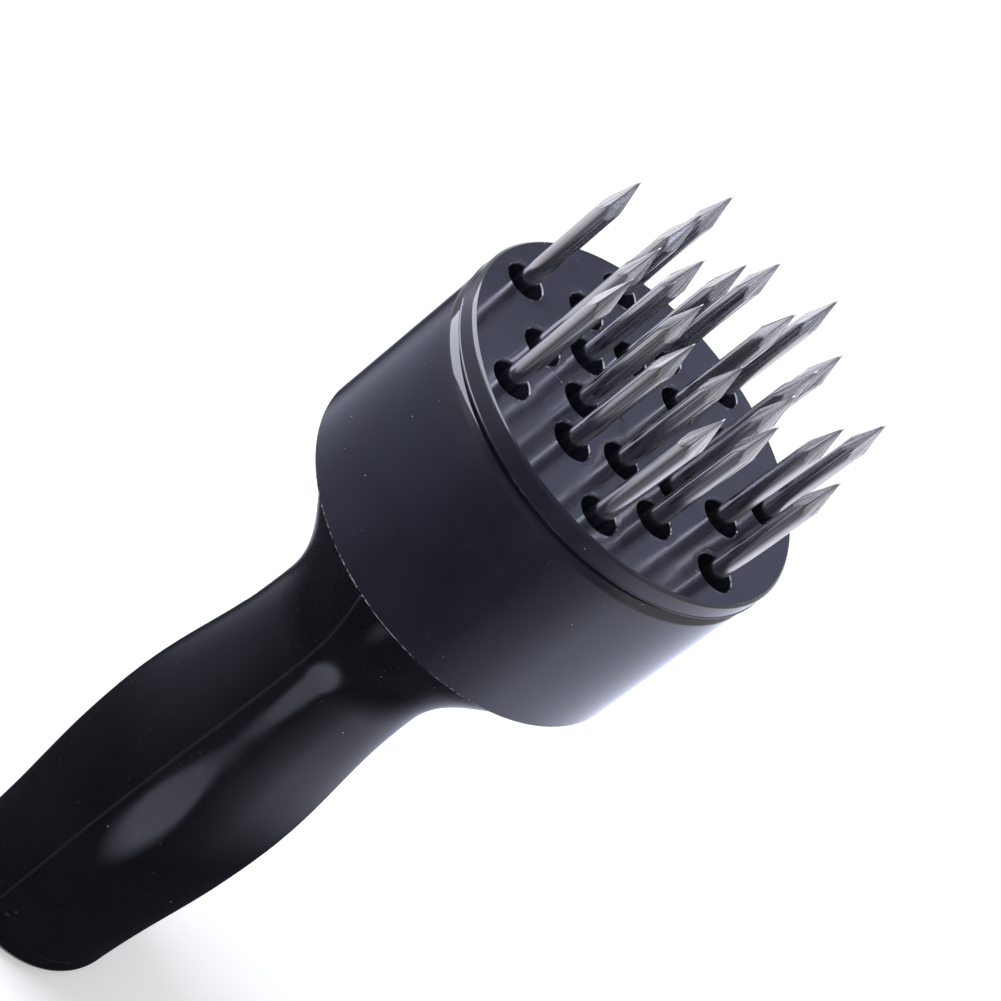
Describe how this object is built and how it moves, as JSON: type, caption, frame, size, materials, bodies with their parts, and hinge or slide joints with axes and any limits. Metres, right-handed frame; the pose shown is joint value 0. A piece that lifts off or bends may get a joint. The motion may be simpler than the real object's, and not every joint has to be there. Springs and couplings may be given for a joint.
{
  "type": "meat tenderizer",
  "caption": "Round push tenderizer: pointed steel needles stand out of a perforated guard cup that slides on a return spring over the head of a waisted handle.",
  "frame": {"origin": "centre of the butt's flat end, on the tool's axis", "axes": "+Z along the tool's axis from the butt to the needle points; the handle's parting plane holds the axis and lies 78 degrees from +X"},
  "size_m": [0.0554, 0.0554, 0.1613],
  "materials": {
    "shell_plastic": "black moulded plastic, glossy",
    "guard_plastic": "black moulded plastic, glossy, faint flow marks",
    "holder_plastic": "black moulded plastic, satin",
    "needle_steel": "drawn stainless wire with ground points",
    "plate_steel": "stamped sheet steel",
    "spring_steel": "drawn spring wire",
    "screw_steel": "zinc-plated steel"
  },
  "bodies": {
    "handle": {"handle_shell_left": "shell_plastic", "handle_shell_right": "shell_plastic", "handle_screw_1": "screw_steel", "handle_screw_2": "screw_steel", "handle_screw_3": "screw_steel", "end_cap": "shell_plastic", "needle_holder": "holder_plastic", "needle_backing_plate": "plate_steel", "backing_screw_1": "screw_steel", "backing_screw_2": "screw_steel", "backing_screw_3": "screw_steel", "needle_inner_1": "needle_steel", "needle_inner_2": "needle_steel", "needle_inner_3": "needle_steel", "needle_inner_4": "needle_steel", "needle_inner_5": "needle_steel", "needle_inner_6": "needle_steel", "needle_inner_7": "needle_steel", "needle_middle_1": "needle_steel", "needle_middle_2": "needle_steel", "needle_middle_3": "needle_steel", "needle_middle_4": "needle_steel", "needle_middle_5": "needle_steel", "needle_middle_6": "needle_steel", "needle_middle_7": "needle_steel", "needle_outer_1": "needle_steel", "needle_outer_2": "needle_steel", "needle_outer_3": "needle_steel", "needle_outer_4": "needle_steel", "needle_outer_5": "needle_steel", "needle_outer_6": "needle_steel", "needle_outer_7": "needle_steel", "return_spring": "spring_steel"},
    "guard": {"guard_face_plate": "guard_plastic", "guard_cup": "guard_plastic", "stop_washer": "plate_steel", "stop_screw": "screw_steel"}
  },
  "joints": [
    {"name": "guard_slide", "type": "slide", "parent": "handle", "child": "guard", "axis": [0, 0, 1], "range_m": [0, 0.0225], "stiffness_N_per_m": 290, "springref_m": 0.0305, "deforming": ["return_spring"]}
  ]
}
